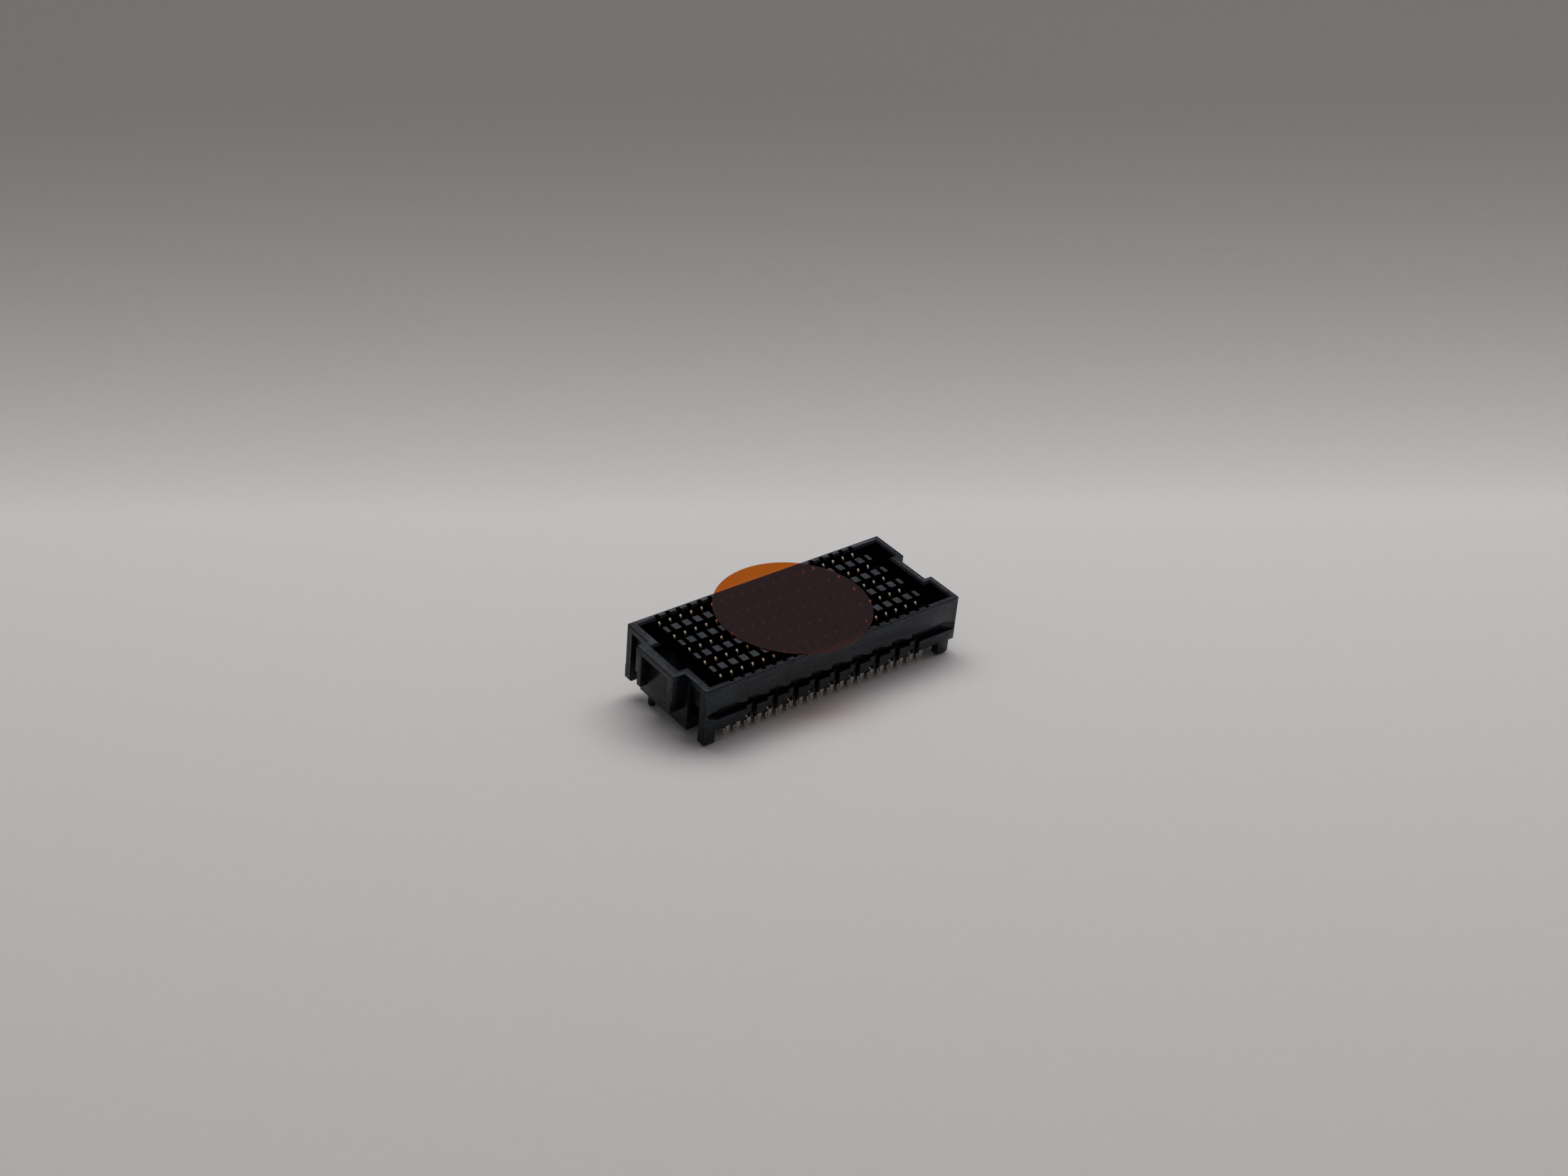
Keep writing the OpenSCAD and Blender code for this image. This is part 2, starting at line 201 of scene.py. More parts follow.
# Paper sheet: tilt and place below the part, its flat run and width, and the curve up into a wall behind
SHEET_TILT = radians(-8.0)
SHEET_PLACE = Vector((0.0, -5.6, -0.25))
SHEET_NEAR = 900
SHEET_HALF_WIDTH = 1100
FLAT_STEPS = 20
FLAT_STEP = 4
CURVE_START = 44
CURVE_RADIUS = 40
CURVE_LEAN = radians(84)
CURVE_STEPS = 18
SHEET_WALL = 20

# Overhead panel: size, power in watts, and distances above, behind and beside the part
PANEL_WIDTH = 600
PANEL_DEPTH = 340
PANEL_POWER = 2.4
PANEL_ABOVE = 420
PANEL_BEHIND = 200
PANEL_BESIDE = 40

# Room round the stage: its colour, and its brightness as fill light, in reflections and where it is seen
ROOM_COLOUR = (1.0, 0.98, 0.985, 1.0)
ROOM_AMBIENT = 0.23
ROOM_MIRRORED = 0.28
ROOM_SEEN = 0.5


# Camera at the photograph's viewing angle

def make_camera():
    """Makes the camera and gives the direction to the right in its view."""
    level_ahead = Vector((-sin(VIEW_AZIMUTH), cos(VIEW_AZIMUTH), 0.0)) * cos(VIEW_ELEVATION)
    ahead = level_ahead - Vector((0.0, 0.0, sin(VIEW_ELEVATION)))
    level = Vector((cos(VIEW_AZIMUTH), sin(VIEW_AZIMUTH), 0.0))
    upright = level.cross(ahead)
    right = cos(VIEW_ROLL) * level + sin(VIEW_ROLL) * upright
    up = cos(VIEW_ROLL) * upright - sin(VIEW_ROLL) * level
    data = bpy.data.cameras.new("camera")
    data.sensor_width = SENSOR
    data.lens = LENS
    data.clip_start = CLIP_NEAR * MM
    data.clip_end = CLIP_FAR * MM
    camera = bpy.data.objects.new("camera", data)
    scene.collection.objects.link(camera)
    turn = Matrix((right, up, -ahead)).transposed().to_4x4()
    camera.matrix_world = Matrix.Translation(CAMERA_PLACE * MM) @ turn
    scene.camera = camera
    return right


# Node helpers

def add(tree, kind, **values):
    """A new node with some of its inputs set; a _ in a name stands for a space."""
    node = tree.nodes.new(kind)
    for name, value in values.items():
        node.inputs[name.replace("_", " ")].default_value = value
    return node


def start_material(name):
    """A new material, with its node tree and its main shader."""
    material = bpy.data.materials.new(name)
    material.use_nodes = True
    tree = material.node_tree
    return material, tree, tree.nodes["Principled BSDF"]


def in_millimetres(tree, scale=(1.0, 1.0, 1.0)):
    """Object coordinates counted in millimetres, stretched by scale."""
    where = tree.nodes.new("ShaderNodeTexCoord")
    mapping = add(tree, "ShaderNodeMapping", Scale=[s / MM for s in scale])
    tree.links.new(where.outputs["Object"], mapping.inputs["Vector"])
    return mapping.outputs["Vector"]


def axis_of(tree, vector, letter):
    """One coordinate of a vector."""
    axes = tree.nodes.new("ShaderNodeSeparateXYZ")
    tree.links.new(vector, axes.inputs["Vector"])
    return axes.outputs[letter]


def noise(tree, vector, scale, detail=3.0, roughness=0.5):
    """Noise whose scale counts its patches along a millimetre."""
    texture = add(tree, "ShaderNodeTexNoise", Scale=scale, Detail=detail, Roughness=roughness)
    tree.links.new(vector, texture.inputs["Vector"])
    return texture.outputs["Fac"]


def spread(tree, value, span, to):
    """A value stretched from one span to another, and held at the ends."""
    ranged = add(
        tree, "ShaderNodeMapRange",
        From_Min=span[0], From_Max=span[1], To_Min=to[0], To_Max=to[1],
    )
    tree.links.new(value, ranged.inputs["Value"])
    return ranged.outputs["Result"]


def calculate(tree, operation, first, second):
    """A Math node on two values, each a socket or a number."""
    node = tree.nodes.new("ShaderNodeMath")
    node.operation = operation
    for socket, value in zip(node.inputs, (first, second)):
        if isinstance(value, (int, float)):
            socket.default_value = value
        else:
            tree.links.new(value, socket)
    return node.outputs["Value"]


def shared(tree, first, share, second):
    """Two values added up: the first has the given share of the sum, and the second has the rest."""
    part = calculate(tree, "MULTIPLY", first, share)
    rest = calculate(tree, "MULTIPLY", second, 1.0 - share)
    return calculate(tree, "ADD", part, rest)


def blend(tree, factor, first, second):
    """The first colour where the factor is 0, the second where it is 1; each is a socket or a tuple."""
    mix = tree.nodes.new("ShaderNodeMix")
    mix.data_type = "RGBA"
    tree.links.new(factor, mix.inputs["Factor"])
    ends = {socket.name: socket for socket in mix.inputs if socket.type == "RGBA"}
    for name, colour in (("A", first), ("B", second)):
        if isinstance(colour, tuple):
            ends[name].default_value = (*colour, 1.0)
        else:
            tree.links.new(colour, ends[name])
    return next(s for s in mix.outputs if s.type == "RGBA")


def bump(tree, height, depth, strength=1.0):
    """A normal that follows a height, with its full depth in millimetres."""
    node = add(tree, "ShaderNodeBump", Distance=depth * MM, Strength=strength)
    tree.links.new(height, node.inputs["Height"])
    return node.outputs["Normal"]


def finish_with(tree, factor, first, second):
    """Mixes two shaders by a factor and makes the result the material's surface."""
    both = tree.nodes.new("ShaderNodeMixShader")
    tree.links.new(factor, both.inputs["Fac"])
    tree.links.new(first.outputs["BSDF"], both.inputs[1])
    tree.links.new(second.outputs["BSDF"], both.inputs[2])
    tree.links.new(both.outputs["Shader"], tree.nodes["Material Output"].inputs["Surface"])


# Finishes

def under_film(tree, plain, inset=0.0, soft=0.1):
    """1 below the film's disc, falling to 0 over a soft edge that lies inset from the disc's own."""
    centred = (-FILM_MIDDLE.x, -FILM_MIDDLE.y, 0.0)
    shifted = add(tree, "ShaderNodeMapping", Location=centred, Scale=(1.0, 1.0, 0.0))
    tree.links.new(plain, shifted.inputs["Vector"])
    length = tree.nodes.new("ShaderNodeVectorMath")
    length.operation = "LENGTH"
    tree.links.new(shifted.outputs["Vector"], length.inputs[0])
    edge = FILM_RADIUS - inset
    return spread(tree, length.outputs["Value"], (edge - soft, edge), to=TURNED)


def black_plastic(name, dark, pale, roughness, sheen, shaded_under_film=False):
    """Moulded black plastic: satin, with faint flow marks, a mottled skin and a fine mould grain.

    Where it is shaded under the film, painted shade below the disc turns its colour near black and takes
    its sheen away.
    """
    material, tree, shader = start_material(name)
    plain = in_millimetres(tree)
    along_flow = in_millimetres(tree, FLOW_STRETCH)
    flow = noise(tree, along_flow, 0.9, detail=4.0, roughness=0.6)
    mottle = noise(tree, plain, 2.6, roughness=0.6)
    patches = noise(tree, plain, 0.6, roughness=0.55)
    grain = noise(tree, plain, 11.0, roughness=0.6)
    tone = shared(tree, flow, 0.45, mottle)
    colour = blend(tree, spread(tree, tone, CRISP, to=WHOLE), dark, pale)
    shine = spread(tree, tone, CRISP, to=(sheen * (1.0 - SHEEN_CHANGE), sheen * (1.0 + SHEEN_CHANGE)))
    # Painted shade below the film's disc: the colour turns near black and the sheen goes
    if shaded_under_film:
        film_shade_mask = under_film(tree, plain)
        colour = blend(tree, film_shade_mask, colour, UNDER_FILM_SHADE_BLACK)
        shine = calculate(tree, "MULTIPLY", shine, spread(tree, film_shade_mask, WHOLE, to=TURNED))
    uneven = shared(tree, patches, 0.6, mottle)
    relief = shared(tree, mottle, 0.7, grain)
    tree.links.new(colour, shader.inputs["Base Color"])
    tree.links.new(shine, shader.inputs["Specular IOR Level"])
    tree.links.new(spread(tree, uneven, EVEN, to=roughness), shader.inputs["Roughness"])
    tree.links.new(bump(tree, relief, MOULD_GRAIN), shader.inputs["Normal"])
    shader.inputs["IOR"].default_value = PLASTIC_IOR
    shader.inputs["Specular Tint"].default_value = SHEEN_TINT
    return material


def plated_contact():
    """Contact plating in bands: bright tin on the tail, nickel darkened with painted shade on the shank,
    pale gold on the tip.
    """
    material, tree, shader = start_material("gold_and_tin_contact")
    plain = in_millimetres(tree)
    bands = tree.nodes.new("ShaderNodeValToRGB")
    stops = bands.color_ramp.elements
    while len(stops) < len(PLATING):
        stops.new(0.5)
    for stop, (height, colour) in zip(stops, PLATING):
        stop.position = height / RIM_TOP
        stop.color = (*colour, 1.0)
    up = spread(tree, axis_of(tree, plain, "Z"), (0.0, RIM_TOP), to=WHOLE)
    tree.links.new(up, bands.inputs["Fac"])
    # Painted shade below the film: the plating turns to a dimmer, bluer colour
    plating_shade_mask = under_film(tree, plain, PLATING_SHADE_INSET, PLATING_SHADE_SOFT)
    plating = blend(tree, plating_shade_mask, bands.outputs["Color"], PLATING_FILM_SHADE)
    wear = noise(tree, plain, 6.0, roughness=0.6)
    drawn = noise(tree, plain, 16.0, detail=2.0)
    tree.links.new(plating, shader.inputs["Base Color"])
    tree.links.new(spread(tree, wear, GENTLE, to=PLATING_ROUGHNESS), shader.inputs["Roughness"])
    tree.links.new(bump(tree, drawn, PLATING_GRAIN, strength=0.4), shader.inputs["Normal"])
    shader.inputs["Metallic"].default_value = 1.0
    return material


def solder_tin():
    """Crimped solder: warm pale grey metal, a little uneven, with painted shade down in the grooves."""
    material, tree, shader = start_material("solder_tin")
    plain = in_millimetres(tree)
    cloud = noise(tree, plain, 3.5, roughness=0.6)
    clean = blend(tree, spread(tree, cloud, EVEN, to=WHOLE), SOLDER_WORN, SOLDER_BRIGHT)
    groove = tree.nodes.new("ShaderNodeAttribute")
    groove.attribute_name = "groove"
    groove_shaded = blend(tree, groove.outputs["Fac"], clean, SOLDER_GROOVE_SHADE)
    dents = noise(tree, plain, 5.0, detail=2.0)
    tree.links.new(groove_shaded, shader.inputs["Base Color"])
    tree.links.new(spread(tree, cloud, GENTLE, to=SOLDER_ROUGHNESS), shader.inputs["Roughness"])
    tree.links.new(bump(tree, dents, SOLDER_DENTS, strength=0.5), shader.inputs["Normal"])
    shader.inputs["Metallic"].default_value = 1.0
    return material


def amber_film():
    """Heat-proof amber film: clear, deep orange, with a soft gloss on its outer side."""
    material, tree, shader = start_material("amber_film")
    tree.nodes.remove(shader)
    plain = in_millimetres(tree)
    cloud = noise(tree, plain, 0.5, detail=2.0)
    tint = tree.nodes.new("ShaderNodeBsdfTransparent")
    tree.links.new(blend(tree, cloud, FILM_DEEP, FILM_PALE), tint.inputs["Color"])
    haze = noise(tree, plain, 2.0)
    waves = noise(tree, plain, 0.35, detail=2.0)
    gloss = add(tree, "ShaderNodeBsdfGlossy", Color=FILM_GLOSS)
    tree.links.new(spread(tree, haze, GENTLE, to=FILM_ROUGHNESS), gloss.inputs["Roughness"])
    tree.links.new(bump(tree, waves, FILM_WAVES, strength=0.12), gloss.inputs["Normal"])
    mirror = add(tree, "ShaderNodeFresnel", IOR=FILM_IOR)
    face = tree.nodes.new("ShaderNodeNewGeometry")
    outside = spread(tree, face.outputs["Backfacing"], WHOLE, to=TURNED)
    overhang = (WALL_OUT, WALL_OUT + OVERHANG_FADE)
    held_flat = spread(tree, axis_of(tree, plain, "Y"), overhang, to=(1.0, OVERHANG_GLOSS))
    shown = calculate(tree, "MULTIPLY", mirror.outputs["Fac"], outside)
    finish_with(tree, calculate(tree, "MULTIPLY", shown, held_flat), tint, gloss)
    return material


def pale_paper():
    """Pale paper of the stage, which shows from above only."""
    material, tree, shader = start_material("pale_paper")
    fibre = noise(tree, in_millimetres(tree), 0.8, detail=4.0, roughness=0.6)
    tree.links.new(blend(tree, fibre, PAPER_GREY, PAPER_PALE), shader.inputs["Base Color"])
    shader.inputs["Roughness"].default_value = PAPER_ROUGHNESS
    shader.inputs["Specular IOR Level"].default_value = PAPER_SHEEN
    face = tree.nodes.new("ShaderNodeNewGeometry")
    clear = tree.nodes.new("ShaderNodeBsdfTransparent")
    finish_with(tree, face.outputs["Backfacing"], shader, clear)
    return material


# Mesh helpers

def new_object(name, shape):
    """A linked object that takes over a bmesh."""
    mesh = bpy.data.meshes.new(name)
    shape.to_mesh(mesh)
    shape.free()
    made = bpy.data.objects.new(name, mesh)
    scene.collection.objects.link(made)
    return made


def settle(piece):
    """Turns what a piece's modifiers make into its plain mesh."""
    evaluated = piece.evaluated_get(bpy.context.evaluated_depsgraph_get())
    finished = bpy.data.meshes.new_from_object(evaluated)
    piece.modifiers.clear()
    piece.data = finished


def merged_copy(node):
    """A CAD node's triangles as one closed shape with whole flat faces."""
    shape = bmesh.new()
    shape.from_mesh(node.data)
    bmesh.ops.remove_doubles(shape, verts=shape.verts[:], dist=WELD * MM)
    bmesh.ops.dissolve_limit(shape, angle_limit=FLAT_ANGLE, verts=shape.verts[:], edges=shape.edges[:])
    return shape


def sticks_out(edge, angle):
    """Whether the two faces of an edge meet in an outward corner of more than an angle."""
    return edge.is_manifold and edge.is_convex and edge.calc_face_angle(0.0) > angle


def shade_by_angle(mesh, angle):
    """Smooth shading that stops at edges sharper than an angle."""
    mesh.shade_smooth()
    mesh.set_sharp_from_angle(angle=angle)


# Housing with its mould-rounded edges

def in_field(point):
    """Whether a point, in millimetres, lies in the field of ribs between the walls."""
    return abs(point.x) < FIELD_HALF_X and abs(point.y) < FIELD_HALF_Y


def edge_round(edge):
    """Round of one edge in millimetres, 0 where it stays sharp."""
    middle = (edge.verts[0].co + edge.verts[1].co) / 2 / MM
    on_top = middle.z > RIM_TOP - NEAR
    on_long_side = abs(middle.y) > WALL_OUT - NEAR
    on_relief_tip = on_long_side and middle.x < RELIEF_TIP and RELIEF_LOW < middle.z < RELIEF_HIGH
    deep_inside = in_field(middle) and not on_top
    if deep_inside or on_relief_tip or not sticks_out(edge, ROUNDED_ANGLE):
        return 0.0
    on_end = middle.x > RIGHT_OUT - NEAR or middle.x < LEFT_OUT + NEAR
    if not on_long_side and not on_end:
        return INNER_ROUND
    return RIM_ROUND if on_top else OUTER_ROUND


def skin_of(face):
    """Which finish a face of the housing has before its edges are rounded."""
    corners = [v.co / MM for v in face.verts]
    normal = face.normal
    middle = face.calc_center_median()
    lowest = min(c.z for c in corners)
    faces_up = normal.z > LEVEL
    if faces_up and lowest > RIM_TOP - NEAR:
        return POST_TOP if all(in_field(c) for c in corners) else RIM
    if SLOPING < normal.z < LEVEL and lowest > LEAD_IN_FOOT:
        return RIM
    faces_endways = abs(normal.x) > ENDWAYS and normal.x * middle.x > 0
    if faces_endways and all(abs(c.x) > END_FROM for c in corners):
        return END
    if lowest > UNDERSIDE_TOP and all(in_field(c) for c in corners):
        return INSIDE
    faces_in = normal.x * middle.x + normal.y * middle.y < 0
    behind_key_front = all(c.x > KEY_OUT + KEY_FRONT for c in corners)
    if lowest > CHANNEL_FLOOR - NEAR and (faces_up or (faces_in and behind_key_front)):
        return INSIDE
    return OUTSIDE


def rounded_housing(finishes):
    """The housing with rounded edges, standing for its CAD node."""
    shape = merged_copy(nodes["housing"])
    weight = shape.edges.layers.float.new("bevel_weight_edge")
    for edge in shape.edges:
        edge[weight] = edge_round(edge) / RIM_ROUND
    for face in shape.faces:
        face.material_index = skin_of(face)
    piece = new_object("rounded_housing", shape)
    for material in finishes:
        piece.data.materials.append(material)
    rounding = piece.modifiers.new("rounding", "BEVEL")
    rounding.limit_method = "WEIGHT"
    rounding.width = RIM_ROUND * MM
    rounding.segments = ROUND_STEPS
    rounding.use_clamp_overlap = False
    rounding.material = EDGE
    settle(piece)
    # Rounded edges within the field of ribs take the inside's painted shade as well
    for face in piece.data.polygons:
        if face.material_index == EDGE and in_field(face.center / MM):
            face.material_index = INSIDE
    shade_by_angle(piece.data, HOUSING_SHADE)
    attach(piece, "root")
    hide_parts("housing")


# Contacts and solder charges, repeated over the grid

def strip_path():
    """Middle line of a contact, as points (out, height, width)."""
    lean = (TAPER_START - CHANNEL_FLOOR) / (CROWN_HEIGHT - CHANNEL_FLOOR)
    path = [
        (0.0, STRIP_FOOT, STRIP_WIDTH),
        (0.0, CHANNEL_FLOOR, STRIP_WIDTH),
        (CROWN_OUT * lean, TAPER_START, STRIP_WIDTH),
    ]
    for i in range(TIP_STEPS + 1):
        turn = TIP_BEND * i / TIP_STEPS
        out = CROWN_OUT - TIP_RADIUS * (1.0 - cos(turn))
        path.append((out, CROWN_HEIGHT + TIP_RADIUS * sin(turn), TIP_WIDTH))
    return path


def strip_section(width):
    """Corners of a chamfered strip's section, as points (across, through)."""
    w = width / 2
    t = STRIP_THICKNESS / 2
    c = STRIP_CHAMFER
    return [
        (-w, -t + c), (-w + c, -t), (w - c, -t), (w, -t + c),
        (w, t - c), (w - c, t), (-w + c, t), (-w, t - c),
    ]


def contact_strip():
    """One contact on the grid point, bulging towards +Y: a chamfered strip swept along its middle line."""
    shape = bmesh.new()
    path = strip_path()
    rings = []
    for i, (out, height, width) in enumerate(path):
        before = path[max(i - 1, 0)]
        after = path[min(i + 1, len(path) - 1)]
        along = Vector((0.0, after[0] - before[0], after[1] - before[1])).normalized()
        through = Vector((0.0, along.z, -along.y))
        middle = Vector((0.0, out, height))
        corners = [middle + Vector((a, 0.0, 0.0)) + through * b for a, b in strip_section(width)]
        rings.append([shape.verts.new(corner * MM) for corner in corners])
    for low, high in zip(rings, rings[1:]):
        for j in range(len(low)):
            k = (j + 1) % len(low)
            shape.faces.new((low[j], low[k], high[k], high[j]))
    shape.faces.new(rings[0])
    shape.faces.new(rings[-1])
    bmesh.ops.recalc_face_normals(shape, faces=shape.faces[:])
    strip = new_object("contact_strip", shape)
    shade_by_angle(strip.data, METAL_SHADE)
    return strip


def solder_charge():
    """One charge on the grid point, cut from the first row and chamfered."""
    low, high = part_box("solder_row_01")
    shape = merged_copy(nodes["solder_row_01"])
    first = Vector((-(COLUMNS - 1) / 2 * PITCH * MM, (low.y + high.y) / 2, 0.0))
    others = [v for v in shape.verts if v.co.x > first.x + PITCH / 2 * MM]
    bmesh.ops.delete(shape, geom=others, context="VERTS")
    bmesh.ops.translate(shape, verts=shape.verts[:], vec=-first)
    sharp = [edge for edge in shape.edges if sticks_out(edge, CHAMFERED_ANGLE)]
    bmesh.ops.bevel(
        shape, geom=sharp, offset=CHARGE_CHAMFER * MM, offset_type="OFFSET", segments=1, profile=0.5,
        affect="EDGES", clamp_overlap=True,
    )
    charge = new_object("solder_charge", shape)
    shade_by_angle(charge.data, METAL_SHADE)
    # Faces down in the groove are marked for the solder's painted shade
    groove = charge.data.attributes.new("groove", "FLOAT", "FACE")
    sunk_from = (high.y - low.y) / 2 - GROOVE_SUNK * MM
    for face, share in zip(charge.data.polygons, groove.data):
        in_line = abs(face.center.x + GROOVE_SHIFT * MM) < GROOVE_WIDTH / 2 * MM
        sunk = abs(face.center.y) < sunk_from and abs(face.normal.z) < FLAT
        share.value = 1.0 if in_line and sunk else 0.0
    return charge


def grid_tree(name, turn_odd_rows):
    """Repeats one element over a grid of points, with each second row turned round where asked."""
    tree = bpy.data.node_groups.new(name, "GeometryNodeTree")
    tree.is_modifier = True
    sockets = tree.interface
    sockets.new_socket("Geometry", in_out="INPUT", socket_type="NodeSocketGeometry")
    for label, kind in (
        ("Element", "NodeSocketObject"), ("Columns", "NodeSocketInt"), ("Rows", "NodeSocketInt"),
        ("Pitch", "NodeSocketFloat"), ("Finish", "NodeSocketMaterial"),
    ):
        sockets.new_socket(label, in_out="INPUT", socket_type=kind)
    sockets.new_socket("Geometry", in_out="OUTPUT", socket_type="NodeSocketGeometry")
    given = tree.nodes.new("NodeGroupInput")
    result = tree.nodes.new("NodeGroupOutput")
    link = tree.links.new
    pitch = given.outputs["Pitch"]
    grid = tree.nodes.new("GeometryNodeMeshGrid")
    for letter, count in (("X", "Columns"), ("Y", "Rows")):
        steps = calculate(tree, "SUBTRACT", given.outputs[count], 1.0)
        link(calculate(tree, "MULTIPLY", steps, pitch), grid.inputs["Size " + letter])
        link(given.outputs[count], grid.inputs["Vertices " + letter])
    element = tree.nodes.new("GeometryNodeObjectInfo")
    link(given.outputs["Element"], element.inputs["Object"])
    placed = tree.nodes.new("GeometryNodeInstanceOnPoints")
    link(grid.outputs["Mesh"], placed.inputs["Points"])
    link(element.outputs["Geometry"], placed.inputs["Instance"])
    if turn_odd_rows:
        where = tree.nodes.new("GeometryNodeInputPosition")
        across = axis_of(tree, where.outputs["Position"], "Y")
        steps = calculate(tree, "SUBTRACT", given.outputs["Rows"], 1.0)
        middle_row = calculate(tree, "DIVIDE", steps, 2.0)
        row = calculate(tree, "ADD", calculate(tree, "DIVIDE", across, pitch), middle_row)
        odd = calculate(tree, "MODULO", calculate(tree, "ROUND", row, 0.0), 2.0)
        angles = tree.nodes.new("ShaderNodeCombineXYZ")
        link(calculate(tree, "MULTIPLY", odd, pi), angles.inputs["Z"])
        turn = tree.nodes.new("FunctionNodeEulerToRotation")
        link(angles.outputs["Vector"], turn.inputs["Euler"])
        link(turn.outputs["Rotation"], placed.inputs["Rotation"])
    whole = tree.nodes.new("GeometryNodeRealizeInstances")
    link(placed.outputs["Instances"], whole.inputs["Geometry"])
    painted = tree.nodes.new("GeometryNodeSetMaterial")
    link(whole.outputs["Geometry"], painted.inputs["Geometry"])
    link(given.outputs["Finish"], painted.inputs["Material"])
    link(painted.outputs["Geometry"], result.inputs["Geometry"])
    return tree


def over_the_grid(name, element, finish, row_name, turn_odd_rows):
    """The whole array of one element, standing for its CAD rows."""
    element.data.materials.append(finish)
    piece = new_object(name, bmesh.new())
    repeat = piece.modifiers.new("grid", "NODES")
    repeat.node_group = grid_tree(name + "_grid", turn_odd_rows)
    values = {"Element": element, "Columns": COLUMNS, "Rows": ROWS, "Pitch": PITCH * MM, "Finish": finish}
    for socket in repeat.node_group.interface.items_tree:
        if socket.in_out == "INPUT" and socket.name in values:
            repeat[socket.identifier] = values[socket.name]
    settle(piece)
    bpy.data.objects.remove(element)
    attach(piece, "root")
    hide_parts(*["%s_row_%02d" % (row_name, r + 1) for r in range(ROWS)])


# Stage: a paper sheet that the part leans on, curving up behind it

def sheet_profile():
    """Section of the sheet from its near edge to the wall's top, as points (away, height)."""
    profile = [(-SHEET_NEAR, 0.0)]
    profile += [(CURVE_START - (FLAT_STEPS - i) * FLAT_STEP, 0.0) for i in range(FLAT_STEPS + 1)]
    for i in range(1, CURVE_STEPS + 1):
        turn = CURVE_LEAN * i / CURVE_STEPS
        profile.append((CURVE_START + CURVE_RADIUS * sin(turn), CURVE_RADIUS * (1.0 - cos(turn))))
    away, height = profile[-1]
    profile.append((away + SHEET_WALL * cos(CURVE_LEAN), height + SHEET_WALL * sin(CURVE_LEAN)))
    return profile


def make_stage(right):
    """Makes the sheet and gives its upward direction and the direction away from the camera."""
    normal = Vector((0.0, -sin(SHEET_TILT), cos(SHEET_TILT)))
    across = (right - right.dot(normal) * normal).normalized()
    away = normal.cross(across)
    half = across * SHEET_HALF_WIDTH
    shape = bmesh.new()
    pairs = []
    for a, h in sheet_profile():
        middle = SHEET_PLACE + away * a + normal * h
        pairs.append([shape.verts.new(corner * MM) for corner in (middle - half, middle + half)])
    for near, far in zip(pairs, pairs[1:]):
        face = shape.faces.new((near[0], near[1], far[1], far[0]))
        face.smooth = True
    sheet = new_object("paper_sheet", shape)
    sheet.data.materials.append(pale_paper())
    return normal, away


def make_panel(normal, away):
    """One soft overhead lamp, level with the sheet and behind the part."""
    data = bpy.data.lights.new("overhead_panel", "AREA")
    data.shape = "RECTANGLE"
    data.size = PANEL_WIDTH * MM
    data.size_y = PANEL_DEPTH * MM
    data.energy = PANEL_POWER
    lamp = bpy.data.objects.new("overhead_panel", data)
    scene.collection.objects.link(lamp)
    across = away.cross(normal)
    turn = Matrix((across, away, normal)).transposed().to_4x4()
    place = normal * PANEL_ABOVE + away * PANEL_BEHIND + across * PANEL_BESIDE
    lamp.matrix_world = Matrix.Translation(place * MM) @ turn


def make_room():
    """A plain pale room, a little brighter in reflections and where the camera sees it."""
    world = bpy.data.worlds.new("room")
    world.use_nodes = True
    tree = world.node_tree
    ray = tree.nodes.new("ShaderNodeLightPath")
    shown = tree.nodes["Background"]
    shown.inputs["Color"].default_value = ROOM_COLOUR
    mirrored = calculate(tree, "MULTIPLY", ray.outputs["Is Glossy Ray"], ROOM_MIRRORED - ROOM_AMBIENT)
    seen = calculate(tree, "MULTIPLY", ray.outputs["Is Camera Ray"], ROOM_SEEN - ROOM_AMBIENT)
    level = calculate(tree, "ADD", calculate(tree, "ADD", mirrored, seen), ROOM_AMBIENT)
    tree.links.new(level, shown.inputs["Strength"])
    scene.world = world


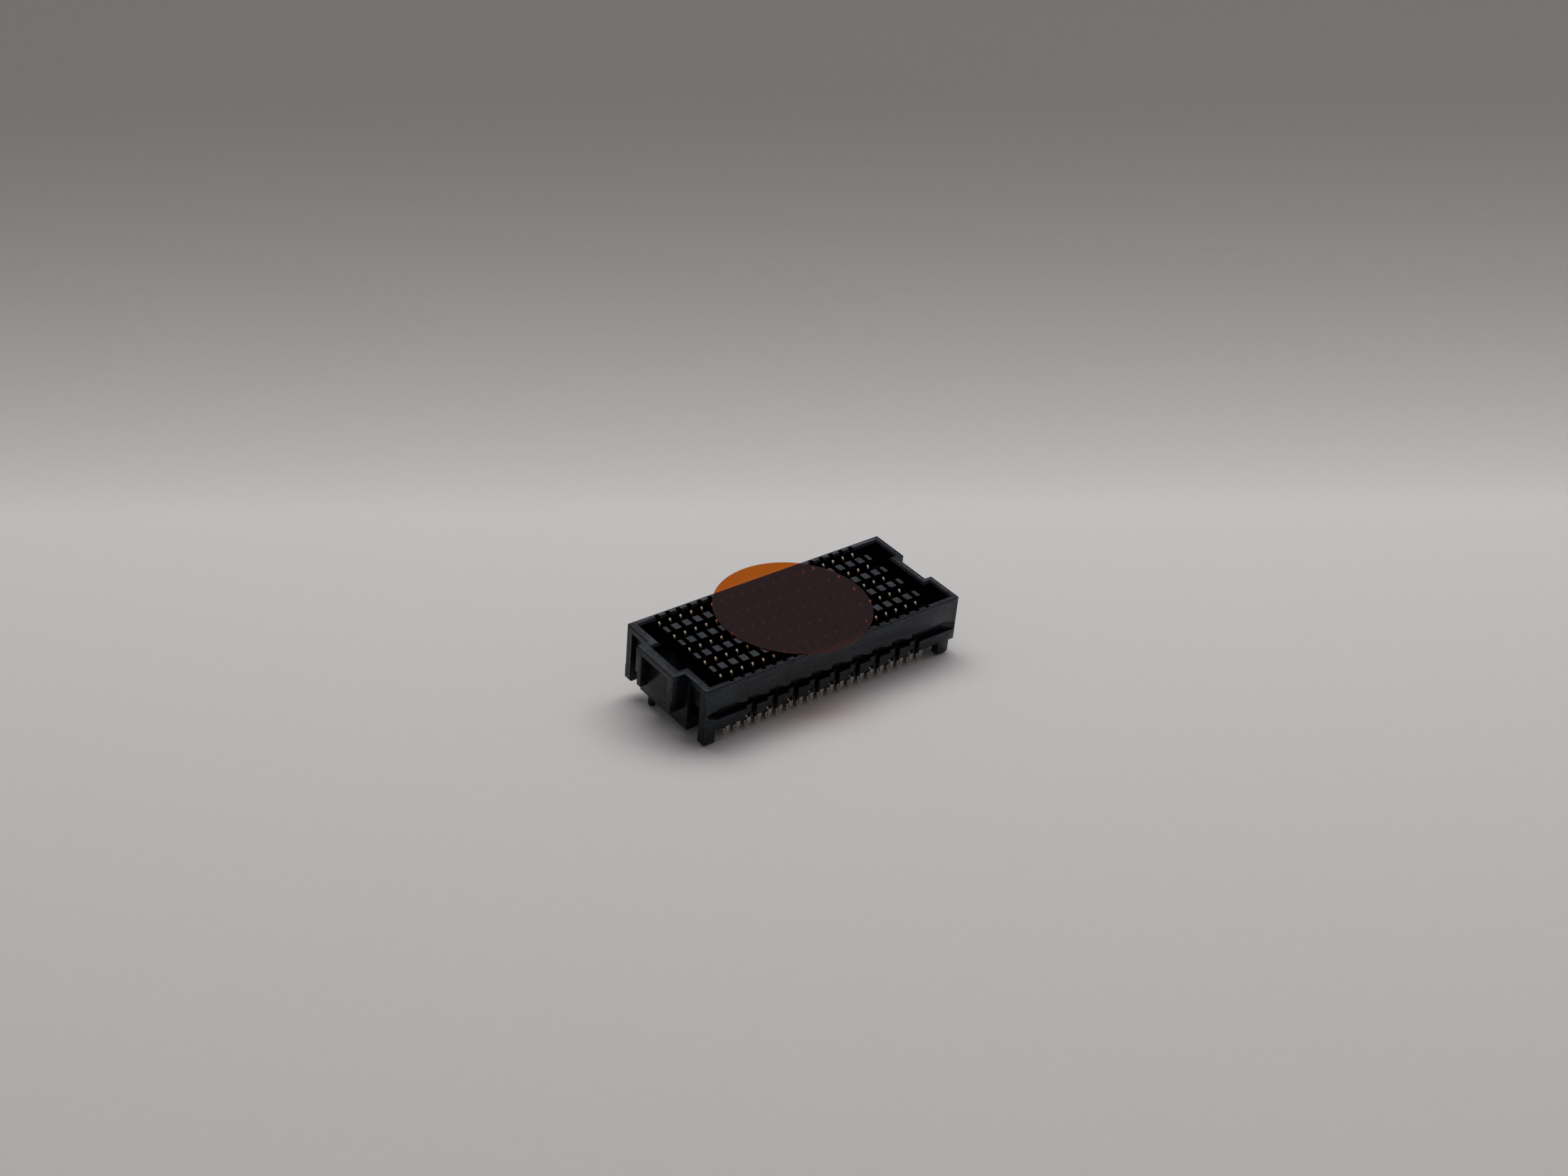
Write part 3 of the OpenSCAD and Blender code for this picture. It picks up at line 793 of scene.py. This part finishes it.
right = make_camera()
normal, away = make_stage(right)
make_panel(normal, away)
make_room()
scene.view_settings.view_transform = "Standard"

# Finishes of the housing in the order of their slots, then those of the other pieces
housing_finishes = (
    black_plastic(
        "moulded_black_plastic", dark=(0.0006, 0.0009, 0.0018), pale=(0.0020, 0.0028, 0.0046),
        roughness=(0.24, 0.36), sheen=0.40,
    ),
    black_plastic(
        "rubbed_black_edge", dark=(0.0012, 0.0016, 0.0026), pale=(0.0032, 0.0040, 0.0056),
        roughness=(0.36, 0.50), sheen=0.14,
    ),
    # Post tops: a rougher matt finish, and a colour lighter than the plastic's own as painted light on the
    # tops
    black_plastic(
        "matt_black_top_painted_light", dark=(0.009, 0.0102, 0.0122), pale=(0.014, 0.0158, 0.0185),
        roughness=(0.45, 0.6), sheen=0.2, shaded_under_film=True,
    ),
    # Inside the walls: darker than the plastic's own colour, with almost no sheen, as painted shade
    black_plastic(
        "painted_shade_inner_plastic", dark=(0.0003, 0.0004, 0.0008), pale=(0.0008, 0.0010, 0.0018),
        roughness=(0.40, 0.55), sheen=0.012, shaded_under_film=True,
    ),
    black_plastic(
        "moulded_black_rim", dark=(0.0012, 0.0016, 0.0026), pale=(0.0030, 0.0038, 0.0056),
        roughness=(0.22, 0.32), sheen=0.21, shaded_under_film=True,
    ),
    black_plastic(
        "moulded_black_end", dark=(0.0006, 0.0009, 0.0018), pale=(0.0020, 0.0028, 0.0046),
        roughness=(0.24, 0.36), sheen=0.15,
    ),
)
contact_plating = plated_contact()
solder = solder_tin()
film = amber_film()

# Finish of the CAD nodes, by the start of their names
node_finishes = {
    "housing": housing_finishes[OUTSIDE],
    "contact": contact_plating,
    "solder": solder,
    "pick_and_place": film,
}
for name, node in nodes.items():
    finish = next(f for start, f in node_finishes.items() if name.startswith(start))
    node.data.materials.clear()
    node.data.materials.append(finish)

rounded_housing(housing_finishes)
over_the_grid("contacts", contact_strip(), contact_plating, "contact", turn_odd_rows=True)
over_the_grid("solder_charges", solder_charge(), solder, "solder", turn_odd_rows=False)
